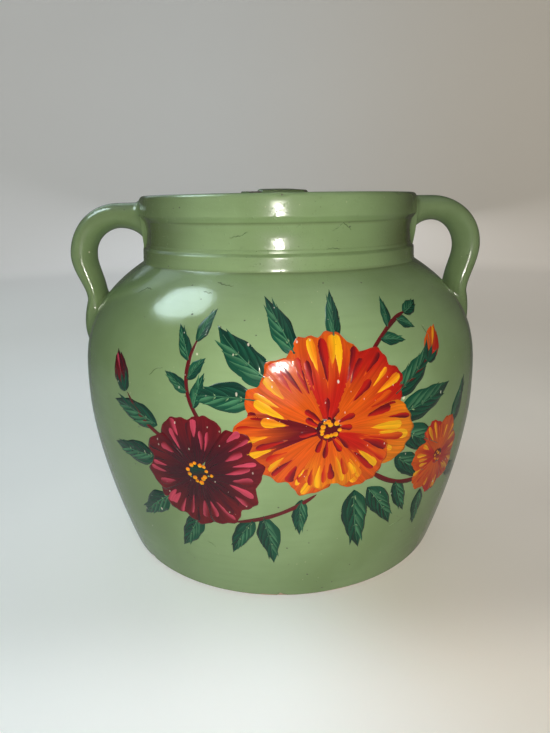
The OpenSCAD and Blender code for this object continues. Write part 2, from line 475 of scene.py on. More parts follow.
def makeBrushPaint():
    # strokes of thick enamel: bristle streaks along each stroke, dry tails and small chips
    material, tree, shader = surface("brushPaint")
    place = attribute(tree, "brush", "Vector")
    broad = noise(tree, stretched(tree, place, (0.05, 0.9, 1)), 1, 3)
    fine = noise(tree, stretched(tree, place, (0.1, 3.2, 1)), 1, 2)
    streak = plus(tree, times(tree, broad, 0.6), times(tree, fine, 0.4))
    value = ramp(tree, streak, 0.32, 0.68, *strokeLook["tones"])
    links = {"Value": value, "Color": attribute(tree, "paint", "Color")}
    shaded = node(tree, "HueSaturation", links).outputs[0]
    lean = maths(tree, "SUBTRACT", attribute(tree, "dry"), times(tree, streak, 0.62))
    shaded = mixColour(tree, ramp(tree, lean, -0.06, 0.06), shaded, attribute(tree, "under", "Color"))
    flaked = stretched(tree, objectPlace(tree), (1, 1, 0.55))
    for kind in strokeLook["flakes"]:
        shaded = addSpecks(tree, shaded, flaked, kind)[0]
    tree.links.new(shaded, shader.inputs["Base Color"])
    tree.links.new(ramp(tree, streak, 0.3, 0.7, *strokeLook["rough"]), shader.inputs["Roughness"])
    bump(tree, shader, streak, strokeLook["relief"])
    return material


potEnamel = makeEnamel("potEnamel", 1.0, enamel["clay"], footWear=enamel["footWear"])
lidEnamel = makeEnamel("lidEnamel", 0.8, enamel["clay"])
knobEnamel = makeEnamel("knobEnamel", 0.8, enamel["darkClay"])
insideGlaze = makeGlaze()
bareClay = makeBareClay()
brushPaint = makeBrushPaint()
print("materials made")


# Pot

bodyHigh = boxMm("jar_body")[1]
lidLow, lidHigh = boxMm("lid")
knobHigh = boxMm("lid_knob")[1]
pot = {
    "belly": bodyHigh[0],
    "rim": bodyHigh[2],
    "bellyHeight": 78,
    "foot": 84.4,
    "wallFullness": 1.6,
    "shoulder": 141.5,
    "shoulderFullness": 3.3,
    "neck": 68.9,
    "waist": 66,
    # (in from the neck, up from the shoulder, rounding), then the same out from the waist
    "step": [(0.1, 0.1, 0.8), (0.3, 1.3, 0), (0.55, 6.2, 0.9)],
    "groove": [(0.9, 7.4, 0.3), (0.85, 8.4, 0.3), (0.5, 9.0, 0.3), (-0.1, 15.5, 15)],
    "grooveTop": (0.95, 11.9, 0.9),  # (out from the waist, down from the rim, rounding)
    "collar": 8.4,
    "lip": 0.9,
    "lipRound": 1.2,
    "barrel": 0.6,
    "wall": 7.5,
    "floor": 9,
    "floorRound": 12,
    "footRing": 11,
    "footRound": 2.5,
    "footRecess": 2.5,
    "edge": 2,
    "mouth": 58.5,
    "seat": lidLow[2] + 6,
    "throat": 53,
    "ledge": 6,
    "ledgeRound": 1,
    "paintedInside": 5,  # how far the enamel runs down inside the rim
    "wobble": 0.22,
    "rings": 0.06,
    # painted shade on the neck: how much beside the handles, how much more on the right, the heights of the
    # waist where it is deeper, and the painted shadow lines in the two creases
    "grime": 0.5,
    "grimeRight": 1.5,  # times as much on the right
    "waistShade": (148, 151, 161, 163),  # heights between which there is more of it
    "creases": [(160.75, 0.35, 0.42), (141.5, 0.6, 0.4)],  # (height, width, depth of colour)
    "skin": 0.33,  # room left outside the enamel for brushwork
    "around": 330,
    "spacing": {"neck": 1.1, "under": 9, "inside": 7, "outside": 2.6},  # of the rings
    "chips": [  # (degrees from the front, height, radius, depth), on an edge
        (-2.2, 172.2, 1.3, 0.5),
        (-24, 172.4, 0.9, 0.25),
        (47, 172.3, 1.2, 0.35),
        (128, 172.4, 1.8, 0.5),
        (-141, 172.4, 1.3, 0.4),
        (-8.5, 0.6, 2.2, 0.9),
        (-4.5, 0.5, 1.6, 0.7),
        (19, 0.6, 1.3, 0.5),
        (-52, 0.6, 1.8, 0.7),
        (97, 0.6, 2.4, 0.9),
        (163, 0.6, 1.7, 0.7),
        (-117, 0.6, 1.5, 0.6),
    ],
}


def plainRadius(z):
    # outside of the pot below the neck, without the marks of the hand
    low = np.clip(1 - np.asarray(z, float) / pot["bellyHeight"], 0, 1)
    rise = pot["shoulder"] - pot["bellyHeight"]
    high = np.clip((np.asarray(z, float) - pot["bellyHeight"]) / rise, 0, 1)
    wall = (pot["belly"] - pot["foot"]) * low ** pot["wallFullness"]
    return pot["belly"] - wall - (pot["belly"] - pot["neck"]) * high ** pot["shoulderFullness"]


def handMarks(theta, z):
    # slow wobble and faint throwing rings, always inwards
    wobble = 2 + np.sin(2 * theta + 0.6 + z * 0.013) + np.sin(3 * theta - 1.1 + z * 0.021)
    rings = 2 + np.sin(z * 0.83 + theta) + np.sin(z * 1.37 - theta)
    calm = 1 - 0.8 * smoothStep(pot["shoulder"] - 4, pot["shoulder"] + 4, z)
    return -pot["skin"] - pot["wobble"] * wobble / 4 - pot["rings"] * calm * rings / 4


def collarRadius(up):
    # slight barrel above the lip of the collar
    return pot["neck"] - 0.1 * pot["lip"] - pot["barrel"] * (up / pot["collar"]) ** 2


outerCorners = (
    [(pot["foot"] - pot["footRing"], 0, 0), (pot["foot"], 0, pot["footRound"])]
    + [(plainRadius(z), z, 0) for z in np.linspace(0, pot["shoulder"], 60)[3:-1]]
    + [(pot["neck"] - inset, pot["shoulder"] + up, rounding) for inset, up, rounding in pot["step"]]
    + [(pot["waist"] + out, pot["shoulder"] + up, rounding) for out, up, rounding in pot["groove"]]
    + [(pot["waist"] + pot["grooveTop"][0], pot["rim"] - pot["grooveTop"][1], pot["grooveTop"][2])]
    + [(pot["neck"], pot["rim"] - pot["collar"] - pot["lip"], pot["lipRound"])]
    + [(collarRadius(up), pot["rim"] - pot["collar"] + up, 0) for up in np.linspace(0, 6, 7)]
    + [(collarRadius(pot["collar"]), pot["rim"], pot["edge"])]
)


def innerRadius(z):
    step = 0.05
    slope = (plainRadius(z + step) - plainRadius(z - step)) / (2 * step)
    return np.maximum(pot["throat"] + 5, plainRadius(z) - pot["wall"] * np.sqrt(1 + slope ** 2))


innerCorners = (
    [
        (pot["mouth"], pot["rim"], pot["edge"]),
        (pot["mouth"], pot["seat"], pot["ledgeRound"]),
        (pot["throat"], pot["seat"], pot["ledgeRound"]),
        (pot["throat"], pot["seat"] - pot["ledge"], pot["ledgeRound"]),
    ]
    + [(innerRadius(z), z, 0) for z in np.linspace(pot["shoulder"] - 4, pot["floor"] + pot["floorRound"], 28)]
    + [(innerRadius(pot["floor"]), pot["floor"], pot["floorRound"]), (0, pot["floor"], 0)]
)
footCorners = [
    (0, pot["footRecess"], 0),
    (pot["foot"] - pot["footRing"] - pot["footRecess"], pot["footRecess"], 0),
]
outerOutline = roundCorners(outerCorners + [(pot["mouth"], pot["rim"], 0)])


def potRadius(z):
    # outside of the pot with its neck, at any height
    return np.interp(z, outerOutline[:-1, 1], outerOutline[:-1, 0])


def surfaceRadius(theta, z):
    return potRadius(z) + handMarks(theta, z)


def carveChips(verts, chips, inward):
    # presses shallow shells into an edge and returns how deep each point lies in one
    mask = np.zeros(len(verts))
    for degrees, height, radius, depth in chips:
        theta = math.radians(degrees)
        side = np.array((math.sin(theta), -math.cos(theta), 0))
        near = np.abs(verts[:, 2] - height) < 3 * radius
        reach = (verts @ side) * near
        middle = side * reach.max() + np.array((0, 0, height))
        away = verts - middle
        along = away @ np.cross(side, (0, 0, 1))
        gap = np.sqrt((along / 1.5) ** 2 + (away @ side) ** 2 + away[:, 2] ** 2) / radius
        ragged = 0.18 * np.sin(along * 5.1 + height) + 0.12 * np.sin(along * 11.3)
        share = np.clip(1.15 - gap - ragged * (gap > 0.4), 0, 1)
        verts += np.outer(np.sqrt(share) * depth, inward(side, height))
        mask = np.maximum(mask, share)
    return mask


def intoEdge(side, height):
    up = 1 if height < pot["rim"] / 2 else -1
    return (-side + np.array((0, 0, up))) / math.sqrt(2)


def potSpacing(r, z):
    inside = r < np.interp(z, (0, pot["shoulder"]), (pot["foot"], pot["mouth"]))
    where = "inside" if inside else "outside"
    if z > pot["shoulder"] - 2 and r > pot["waist"] - 1:
        where = "neck"
    elif z < pot["footRecess"] + 0.1 and r < pot["foot"] - pot["footRing"]:
        where = "under"
    return pot["spacing"][where]


def grimeAt(spots):
    # painted shade on the neck beside the handles, deeper on the right and on the waist, and painted shadow
    # lines in its two creases
    flat = np.hypot(spots[:, 0], spots[:, 1])
    height = spots[:, 2]
    neck = smoothStep(pot["shoulder"] - 8, pot["shoulder"] + 6, height)
    start, full, thin, end = pot["waistShade"]
    waist = smoothStep(start, full, height) * smoothStep(end, thin, height)
    beside = smoothStep(0.5, 0.97, np.abs(spots[:, 0]) / np.maximum(flat, 1)) * (1 + 0.35 * waist)
    beside = beside * neck * np.where(spots[:, 0] > 0, pot["grimeRight"], 1)
    crease = sum(deep * np.exp(-((height - middle) / wide) ** 2) for middle, wide, deep in pot["creases"])
    return np.clip(np.maximum(pot["grime"] * beside, crease * (flat > pot["waist"] - 2)), 0, 0.9)


def makePot():
    corners = footCorners + outerCorners + innerCorners
    outline = resample(roundCorners(corners, 7, len(corners) - len(innerCorners) + 1), potSpacing)
    verts, faces = lathe(outline, pot["around"], handMarks)
    chip = carveChips(verts, pot["chips"], intoEdge)
    verts[:, 2] = np.maximum(verts[:, 2], 0)
    piece = addPiece("jarBody", verts, faces, "pot", potEnamel, ["jar_body"], chip=chip, grime=grimeAt(verts))
    for material in (insideGlaze, bareClay):
        piece.data.materials.append(material)
    middles = (outline[:-1] + outline[1:]) / 2
    inside = np.arange(len(middles)) > np.argmax(outline[:, 1])
    inside &= (middles[:, 1] < pot["rim"] - pot["paintedInside"]) & (middles[:, 0] < pot["belly"])
    under = (middles[:, 1] <= pot["footRecess"] + 0.01) & (middles[:, 0] < pot["foot"] - 2.6)
    slots = np.where(inside, 1, np.where(under, 2, 0))
    piece.data.polygons.foreach_set("material_index", np.repeat(slots, pot["around"]))


nibs = {
    "neck": 900,
    "belly": 420,
    "neckZone": (142.5, 170.5),  # heights
    "bellyZone": (6, 141),
    "paintedZone": (22, 134),
    "paintedTurn": 1.15,
    "size": (0.2, 0.55),
    "rise": 0.3,
    "sunk": 0.1,
    "around": 8,
    "seed": 5,
}


def addNibs():
    # grains of dust caught under the enamel: small closed domes, none under the brushwork
    dice = np.random.default_rng(nibs["seed"])
    rings = ((1.0, 0.0), (0.72, 0.45), (0.38, 0.86))
    count = nibs["around"]
    turn = np.arange(count) * 2 * math.pi / count
    verts, faces = [], []
    for k in range(nibs["neck"] + nibs["belly"]):
        theta = dice.uniform(-math.pi, math.pi)
        z = dice.uniform(*nibs["neckZone" if k < nibs["neck"] else "bellyZone"])
        size = dice.uniform(*nibs["size"])
        if abs(theta) < nibs["paintedTurn"] and nibs["paintedZone"][0] < z < nibs["paintedZone"][1]:
            continue
        slope = (potRadius(z + 0.2) - potRadius(z - 0.2)) / 0.4
        outward = np.array((math.sin(theta), -math.cos(theta), -slope)) / math.sqrt(1 + slope ** 2)
        along = np.array((math.cos(theta), math.sin(theta), 0))
        up = np.cross(outward, along)
        radius = float(surfaceRadius(theta, z))
        middle = np.array((radius * math.sin(theta), -radius * math.cos(theta), z))
        base = len(verts)
        for share, rise in rings:
            lift = outward * (size * nibs["rise"] * rise - nibs["sunk"] * (rise == 0))
            verts += [middle + lift + size * share * (math.cos(a) * along + math.sin(a) * up) for a in turn]
        verts.append(middle + outward * size * nibs["rise"])
        faces += ringFaces(count, len(rings), base)
        last = base + (len(rings) - 1) * count
        faces += [(last + n, last + (n + 1) % count, last + count) for n in range(count)]
        faces.append(tuple(base + n for n in reversed(range(count))))
    verts = np.array(verts)
    addPiece("dustNibs", verts, faces, "pot", potEnamel, chip=np.zeros(len(verts)), grime=grimeAt(verts))


makePot()
addNibs()
print("pot made")


# Handles: straps that leave the neck over a web, bend down and run out along the belly

handle = {
    "width": 19,
    "spread": 4,
    "bend": 19.3,
    "web": 8,
    "root": 2.5,
    "landing": 20.5,
    "rise": 2.7,
    "tail": 41.5,
    "sink": 1.2,
    "fillet": 3.4,
    "around": 64,
    "narrowing": 0.45,
    "tremor": 0.012,
    "rows": 160,
    # the last amount of each side is painted shade over its whole strap, more on the right one
    "left": {
        "drop": 2.8, "reach": 35.95, "top": 12.3, "side": 12.5, "low": 8.8, "lean": 0.4, "egg": 0.1,
        "skirt": -1.4, "heel": -1.6, "fade": 3, "forward": 2.8, "grime": 0.1,
    },
    "right": {
        "drop": 1.3, "reach": 35.6, "top": 12.1, "side": 12.9, "low": 10.8, "lean": -0.3, "egg": 0.3,
        "skirt": 0, "heel": -0.1, "fade": 1.8, "forward": 0.6, "grime": 0.18,
    },
}


def rootRows(side, top, centre):
    # straight stretch beside the neck, with the web that runs out on the step of the neck
    under = top - side["top"] / 2
    edge = pot["neck"] + side["skirt"]
    foot = under - handle["web"]
    runOut = foot - pot["shoulder"]
    rows = [(pot["waist"] - handle["root"], runOut + handle["web"])]
    for t in np.linspace(0, 1, 26):
        x = edge - (side["skirt"] - side["heel"]) * (1 - t)
        rows.append((x, handle["web"] + runOut * (1 - t ** 5)))
    for turn in np.radians(np.linspace(88, 0, 44)):
        rows.append((centre - (centre - edge) * math.sin(turn), handle["web"] * (1 - math.cos(turn))))
    return np.array([(x, top, side["top"], web) for x, web in rows])


def strapLine(side):
    # rows of distance from the axis, height, thickness and web below
    top = pot["rim"] - side["drop"] - side["top"] / 2
    bend = handle["bend"]
    centre = np.array((pot["neck"] + side["reach"] - side["side"] / 2 - bend, top - bend))
    start = centre + (bend, 0)
    landZ = pot["shoulder"] - handle["landing"]
    tail = handle["tail"] - handle["landing"]
    land = np.array((plainRadius(landZ) + handle["rise"], landZ))
    slope = (plainRadius(landZ + 0.1) - plainRadius(landZ - 0.1)) / 0.2
    down = np.array((slope + 2 * (handle["rise"] + handle["sink"]) / tail, 1))
    down = down / np.linalg.norm(down)
    pull = np.linalg.norm(start - land) / 3
    rows = []
    for turn in np.linspace(0, 1, 50):
        x, z = centre + bend * np.array((math.sin(turn * math.pi / 2), math.cos(turn * math.pi / 2)))
        rows.append((x, z, side["top"] + (side["side"] - side["top"]) * turn, 0))
    for t in np.linspace(0, 1, 50)[1:]:
        x, z = (
            (1 - t) ** 3 * start
            + 3 * t * (1 - t) ** 2 * (start - (0, pull))
            + 3 * t * t * (1 - t) * (land + pull * down)
            + t ** 3 * land
        )
        rows.append((x, z, side["side"] + (side["low"] - side["side"]) * t, 0))
    for t in np.linspace(0, 1, 40)[1:]:
        z = landZ - tail * t
        x = plainRadius(z) - handle["sink"] + (handle["rise"] + handle["sink"]) * (1 - t) ** 2
        rows.append((x, z, side["low"] * (1 - 0.9 * t ** side["fade"]), 0))
    rows = np.array(rows)
    length = runLength(rows[:, :2])
    even = np.linspace(0, length[-1], handle["rows"])[1:]
    rest = np.stack([np.interp(even, length, rows[:, k]) for k in range(4)], axis=1)
    return np.r_[rootRows(side, top, centre[0]), rest]


def blendToPot(points, normals, fillet):
    # spreads the foot of a strap so that it runs into the pot with a fillet
    flat = np.hypot(points[..., 0], points[..., 1])
    theta = np.arctan2(points[..., 0], -points[..., 1])
    slope = (potRadius(points[..., 2] + 0.4) - potRadius(points[..., 2] - 0.4)) / 0.8
    square = np.sqrt(1 + slope ** 2)
    gap = (flat - surfaceRadius(theta, points[..., 2])) / square
    outward = np.stack([np.sin(theta) / square, -np.cos(theta) / square, -slope / square], axis=-1)
    facing = np.sum(normals * outward, axis=-1, keepdims=True)
    short = np.clip(fillet - gap, 0, fillet)
    spread = fillet - np.sqrt(np.clip(fillet ** 2 - short ** 2, 0, None))
    spread = spread * smoothStep(-2.2, -0.2, gap)
    moved = points + (normals - facing * outward) * spread[..., None]
    moved[..., 2] = np.minimum(moved[..., 2], pot["rim"] - 1)
    return moved


def makeHandle(name, sign):
    side = handle[name]
    rows = strapLine(side)
    last = len(rows) - 1
    part = runLength(rows[:, :2])
    part /= part[-1]
    along = directions(rows[:, :2])
    across = np.stack([along[:, 1], -along[:, 0]], axis=1)
    runOut = smoothStep(0.86, 1.0, part)
    width = handle["width"] + handle["spread"] * np.abs(2 * part - 1) ** 4
    width = width * (1 - handle["narrowing"] * runOut ** 2)
    width = width * (1 + handle["tremor"] * np.sin(part * 19 + sign))
    thick = rows[:, 2] * (1 + handle["tremor"] * np.sin(part * 23 - sign))
    count = handle["around"]
    angles = np.arange(count) * 2 * math.pi / count
    cosA, sinA = np.cos(angles), np.sin(angles)
    half = thick[:, None] / 2 + np.where(cosA > 0, 1, 0) * rows[:, 3:4]
    flat = rows[:, 0:1] + across[:, 0:1] * half * cosA
    high = rows[:, 1:2] + across[:, 1:2] * half * cosA
    pointed = 0.8 * np.clip(rows[:, 3:4] / 10, 0, 1) * (cosA > 0)
    wide = width[:, None] / 2 * np.sign(sinA) * np.abs(sinA) ** (0.92 + pointed)
    wide = wide * (1 - side["egg"] * cosA * np.sin(part * math.pi)[:, None])
    lean = side["lean"] * np.sin(part * math.pi) - side["forward"] * np.clip(part / 0.6 - 0.67, 0, 1)
    points = np.stack([sign * flat, wide + lean[:, None], high], axis=-1)
    normals = np.stack([
        sign * across[:, 0:1] * cosA / half,
        np.repeat(sinA[None, :], last + 1, axis=0) / width[:, None] * 2,
        across[:, 1:2] * cosA / half,
    ], axis=-1)
    normals /= np.linalg.norm(normals, axis=-1, keepdims=True)
    below = np.clip(cosA, 0, 1) * np.clip(rows[:, 3:4] / 3, 0, 1)
    points = blendToPot(points, normals, handle["fillet"] * (1 - 0.8 * below))
    faces = ringFaces(count, last + 1)
    faces += [tuple(reversed(range(count))), tuple(last * count + k for k in range(count))]
    if sign < 0:
        faces = [face[::-1] for face in faces]
    verts = points.reshape(-1, 3)
    # painted shade, evenly over the whole strap
    masks = {"chip": np.zeros(len(verts)), "grime": np.full(len(verts), side["grime"])}
    addPiece(name + "Handle", verts, faces, "pot", potEnamel, [name + "_handle"], **masks)


makeHandle("left", -1)
makeHandle("right", 1)
print("handles made")


# Lid and knob

lid = {
    "radius": lidHigh[0],
    "top": lidHigh[2],
    "seat": pot["seat"],
    "locating": 51.5,
    "locatingInside": 45.5,
    "bottom": lidLow[2],
    "rounding": 1.5,
    "around": 320,
    "spacing": 1.6,
    "chips": [(35, 163.3, 1.3, 0.4), (-150, 163.3, 1.6, 0.45), (110, 163.3, 1.0, 0.3)],
}
knob = {
    "radius": knobHigh[0] - 0.5,
    "top": knobHigh[2],
    "sunk": 0.4,
    "waistHeight": 5.2,
    "waistRound": 2,
    "undercut": 5,
    "foot": 2,
    "dome": 0.7,
    "edge": 1.2,
    "shift": -1.6,  # luted on a little off the middle
    "broken": -7.6,
    "breakDepth": 1.1,
    # amount of painted shade round the rim of the knob's top
    "grime": 0.6,
    "around": 200,
    "spacing": 0.45,
    "chips": [(-128, 174.0, 2.6, 0.5), (64, 174.2, 1.6, 0.3), (151, 174.1, 2.0, 0.4)],
}


def lidMarks(theta, z):
    return -0.12 - 0.05 * (1 + np.sin(3 * theta + 0.4)) - 0.02 * (1 + np.sin(z * 2.1 + theta))


def makeLid():
    corners = [
        (0, lid["seat"], 0),
        (lid["locatingInside"], lid["seat"], lid["rounding"]),
        (lid["locatingInside"], lid["bottom"], lid["rounding"]),
        (lid["locating"], lid["bottom"], lid["rounding"]),
        (lid["locating"], lid["seat"], 0),
        (lid["radius"], lid["seat"], lid["rounding"]),
        (lid["radius"], lid["top"], lid["rounding"]),
        (0, lid["top"], 0),
    ]
    outline = resample(roundCorners(corners), lambda r, z: lid["spacing"])
    verts, faces = lathe(outline, lid["around"], lidMarks)
    chip = carveChips(verts, lid["chips"], intoEdge)
    flat = np.hypot(verts[:, 0], verts[:, 1])
    top = verts[:, 2] > lid["top"] - 0.3
    ripple = 0.12 * (1 + np.sin(flat * 0.9)) * smoothStep(knob["radius"], 26, flat) * smoothStep(57, 50, flat)
    verts[:, 2] -= np.where(top, ripple, 0)
    piece = addPiece("lidDisc", verts, faces, "lid", lidEnamel, ["lid"], "lid_paint", chip=chip)
    piece.data.materials.append(insideGlaze)
    middles = (outline[:-1] + outline[1:]) / 2
    slots = np.where(middles[:, 1] < lid["seat"] + 0.4, 1, 0)
    piece.data.polygons.foreach_set("material_index", np.repeat(slots, lid["around"]))


def makeKnob():
    waist = knob["radius"] - knob["undercut"]
    base = lid["top"]
    corners = [
        (0, base - knob["sunk"], 0),
        (waist + knob["foot"], base - knob["sunk"], 0),
        (waist + knob["foot"], base, 0),
        (waist, base + knob["waistHeight"] / 2, knob["waistRound"]),
        (knob["radius"], base + knob["waistHeight"], knob["waistRound"]),
        (knob["radius"], knob["top"] - knob["dome"], knob["edge"]),
        (knob["radius"] / 2, knob["top"], knob["radius"]),
        (0, knob["top"], 0),
    ]
    outline = resample(roundCorners(corners), lambda r, z: knob["spacing"])
    verts, faces = lathe(outline, knob["around"], lambda theta, z: -0.1 - 0.07 * (1 + np.sin(2 * theta + z)))
    chip = carveChips(verts, knob["chips"], lambda side, height: (-side * 0.5 + np.array((0, 0, -1))) / 1.12)
    flat = np.hypot(verts[:, 0], verts[:, 1])
    x, y = verts[:, 0], verts[:, 1]
    ragged = 0.5 * np.sin(y * 0.9) + 0.3 * np.sin(y * 2.3 + 1)
    upper = smoothStep(knob["top"] - 2.6, knob["top"] - 1.2, verts[:, 2])
    broken = smoothStep(knob["broken"] + 0.6, knob["broken"] - 0.6, x + ragged) * upper
    forward = 0.5 * np.clip(-y / knob["radius"], 0, 1)
    rough = np.sin(1.3 * x + 2.1 * y) + np.sin(3.1 * x - 1.7 * y + 1)
    rough = rough + np.sin(0.8 * x + 4.3 * y + 2) + np.sin(5.2 * x + 1.1 * y)
    floor = knob["top"] - knob["breakDepth"] * (1 + forward + 0.06 * rough)
    verts[:, 2] -= np.clip(verts[:, 2] - floor, 0, None) * broken
    bare = broken * smoothStep(knob["broken"] - 5.6, knob["broken"] - 4.2, x + ragged)
    # painted shade in a ring round the rim of the knob's top
    edge = smoothStep(knob["radius"] - 2.2, knob["radius"] - 0.9, flat)
    edge = edge * smoothStep(knob["top"] - 1.5, knob["top"] - 0.9, verts[:, 2])
    verts[:, 0] += knob["shift"]
    masks = {"chip": np.maximum(chip, bare), "grime": edge * knob["grime"]}
    addPiece("lidKnob", verts, faces, "lid", knobEnamel, ["lid_knob"], "lid_paint", **masks)


makeLid()
makeKnob()
print("lid and knob made")


# Brushwork: a spray of flowers in raised enamel strokes, set out as (millimetres round the belly, height)

palette = {
    "red": "b3160b",
    "orange": "cf5208",
    "amber": "e07a08",
    "yellow": "f0b010",
    "maroon": "660814",
    "burgundy": "3c0616",
    "pink": "c2405a",
    "leafDark": "08352a",
    "leaf": "124e39",
    "leafPale": "437c59",
    "stem": "561a1a",
    "hair": "4c5e38",
    "ground": enamel["green"],
}
brush = {
    "film": 0.05,
    "level": 0.042,  # how much higher each further layer of paint lies
    "sunk": 0.35,
    "along": 24,
    "across": 9,
    "fineAlong": 14,
    "fineAcross": 7,
    "stemAlong": 30,
    "petalOut": 26,
    "petalAcross": 25,
    "leafLevel": 0.2,
    "edge": 0.06,
    "dry": 0.42,
    "seed": 11,
}
brushRandom = np.random.default_rng(brush["seed"])
vary = brushRandom.uniform
films = {}
profiles = {
    "comma": lambda u: 1.12 * u ** 0.95 * np.sqrt(1 - u ** 5),
    "leaf": lambda u: np.sin(math.pi * u ** 0.72) ** 1.05,
    "line": lambda u: np.sqrt(np.clip(np.minimum(u * 7, (1 - u) * 4), 0, 1)),
    "dot": lambda u: np.sqrt(np.clip(1 - (2 * u - 1) ** 2, 0, 1)),
}


def heading(degrees):
    return np.array((math.cos(math.radians(degrees)), math.sin(math.radians(degrees))))


def tone(name):
    return linear(palette[name])


def addFilm(group, spots, colour, level, place, dry=0.0, under="ground", film=None):
    # one closed film of paint over a grid of spots; dry is how much of its tail the bristles leave bare
    count, across = spots.shape[:2]
    u = np.linspace(0, 1, count)[:, None]
    v = np.linspace(-1, 1, across)[None, :]
    theta, z = spots[..., 0] / pot["belly"], spots[..., 1]
    ground = surfaceRadius(theta, z)
    lift = level * brush["level"] + (film or brush["film"]) * np.sqrt(1 - v ** 4) * np.ones_like(u)
    bare = dry * (smoothStep(0.35, 0.0, u) + 0.35 * np.abs(v) ** 3)
    empty = {name: [] for name in ("verts", "faces", "paint", "under", "brush", "dry")}
    store = films.setdefault(group, {**empty, "count": 0})
    for radius in (ground + lift, ground - brush["sunk"]):
        spot = np.stack([radius * np.sin(theta), -radius * np.cos(theta), z], axis=-1)
        store["verts"].append(spot.reshape(-1, 3))
        store["paint"].append(np.broadcast_to(colour, spot.shape).reshape(-1, 3))
        store["under"].append(np.broadcast_to(tone(under), spot.shape).reshape(-1, 3))
        store["brush"].append(place.reshape(-1, 3))
        store["dry"].append(bare.ravel())
    base, size, faces = store["count"], count * across, store["faces"]
    for i in range(count - 1):
        for k in range(across - 1):
            p, q = base + i * across + k, base + (i + 1) * across + k
            faces += [(p, p + 1, q + 1, q), (p + size, q + size, q + 1 + size, p + 1 + size)]
        p, q = base + i * across, base + (i + 1) * across
        faces.append((p, q, q + size, p + size))
        p, q = p + across - 1, q + across - 1
        faces.append((p, p + size, q + size, q))
    for k in range(across - 1):
        p, q = base + k, base + (count - 1) * across + k
        faces += [(p, p + size, p + 1 + size, p + 1), (q, q + 1, q + 1 + size, q + size)]
    store["count"] = base + 2 * size


def addStroke(group, path, half, tones, level, dry=0.0, under="ground", film=None, fine=False):
    # one pull of the brush along a path; its tones run from side to side
    path = np.asarray(path, float)
    u = np.linspace(0, 1, len(path))[:, None]
    v = np.linspace(-1, 1, brush["fineAcross" if fine else "across"])[None, :]
    along = directions(path)
    left = np.stack([-along[:, 1], along[:, 0]], axis=1)
    phase = vary(0, 6.28)
    ragged = 1 + brush["edge"] * (np.sin(u * 11 + phase) + np.sin(u * 23 + 2 * phase) * 0.6)
    wide = np.maximum(np.asarray(half, float)[:, None], 0.05) * ragged * v
    spots = path[:, None, :] + left[:, None, :] * wide[..., None]
    share = smoothStep(-0.75, 0.75, v + 0.25 * np.sin(u * 5 + phase))[..., None]
    colour = tone(tones[0]) + (tone(tones[1]) - tone(tones[0])) * share
    length = runLength(path)[:, None]
    place = np.stack([length + 0 * v, wide, vary(0, 400) + 0 * wide], axis=-1)
    addFilm(group, spots, colour, level, place, dry, under, film)


def sweep(start, degrees, length, bend, fine=False):
    # path that sets off in a direction and bends to its left by a share of its length
    u = np.linspace(0, 1, brush["fineAlong" if fine else "along"])[:, None]
    ahead = heading(degrees)
    left = np.array((-ahead[1], ahead[0]))
    return np.asarray(start, float) + length * (u * ahead + bend * u * u * left)


def dab(group, start, degrees, length, width, tones, level, bend=0.0, kind="comma", dry=0.0, under="ground"):
    fine = group == "leafVeins"
    path = sweep(start, degrees, length, bend, fine)
    u = np.linspace(0, 1, len(path))
    addStroke(group, path, width / 2 * profiles[kind](u), tones, level, dry, under, fine=fine)


def dot(group, centre, size, tones, level):
    dab(group, np.asarray(centre) - (size / 2, 0), 0, size, size, tones, level, kind="dot")


def petalShape(centre, degrees, length, width, notch=0.0):
    # a broad petal as a function of how far out (u) and how far to the side (v)
    ahead = heading(degrees)
    left = np.array((-ahead[1], ahead[0]))
    phase = vary(0, 6.28)

    def spot(u, v):
        ruffle = 0.022 * np.sin(7 * v + phase) + 0.014 * np.sin(17 * v - phase)
        dip = notch * np.exp(-(v / 0.33) ** 2)
        out = length * (0.1 + 0.9 * u) * (1 - 0.3 * np.abs(v) ** 2.6 * u + (ruffle - dip) * u ** 5)
        side = width / 2 * v * u ** 0.62 * (1 - 0.16 * u ** 5)
        return np.asarray(centre) + out[..., None] * ahead + side[..., None] * left

    return spot


def addPetal(group, spot, tones, level):
    u = np.linspace(0.02, 1, brush["petalOut"])[:, None]
    v = np.linspace(-1, 1, brush["petalAcross"])[None, :]
    spots = spot(u + 0 * v, v + 0 * u)
    phase = vary(0, 6.28)
    share = smoothStep(0.25, 0.95, u + 0.12 * np.sin(v * 6 + phase))[..., None]
    colour = tone(tones[0]) + (tone(tones[1]) - tone(tones[0])) * share
    place = np.stack([u * 30 + 0 * v, v * 12 + 0 * u, vary(0, 400) + 0 * (u + v)], axis=-1)
    addFilm(group, spots, colour, level, place)


def alongPetal(group, spot, v, reach, width, tones, level, under, drift):
    # a stroke that follows a petal out, between two shares of its length
    u = np.linspace(reach[0], reach[1], brush["along"])
    path = spot(u, v + drift * (u - reach[0]))
    step = np.linspace(0, 1, len(path))
    addStroke(group, path, width / 2 * profiles["comma"](step), tones, level, brush["dry"], under)


def leaf(base, degrees, length, width, bend):
    # a dark blade with paler strokes that fan out from its rib
    level = brush["leafLevel"]
    path = sweep(base, degrees, length, bend)
    u = np.linspace(0, 1, len(path))
    addStroke("leafBlades", path, width / 2 * profiles["leaf"](u), ("leafDark", "leaf"), level)
    turn = degrees + math.degrees(2 * bend) * 0.5
    for share in (0.1, 0.26, 0.42, 0.58):
        for sign in (-1, 1):
            start = path[int(share * (len(path) - 1))]
            reach = length * (0.44 - 0.16 * share) * vary(0.85, 1.1)
            tones = ("leafPale", "leaf") if sign > 0 else ("leaf", "leafDark")
            veer = turn + sign * (31 - 12 * share)
            dab("leafVeins", start, veer, reach, width * 0.2, tones, level + 0.7, -0.16 * sign, "leaf", 0.3)
    rib = path[1:-3]
    half = np.linspace(0.4, 0.14, len(rib))
    addStroke("leafVeins", rib, half, ("leafPale", "leaf"), level + 1.2, 0.3, "leafDark", fine=True)


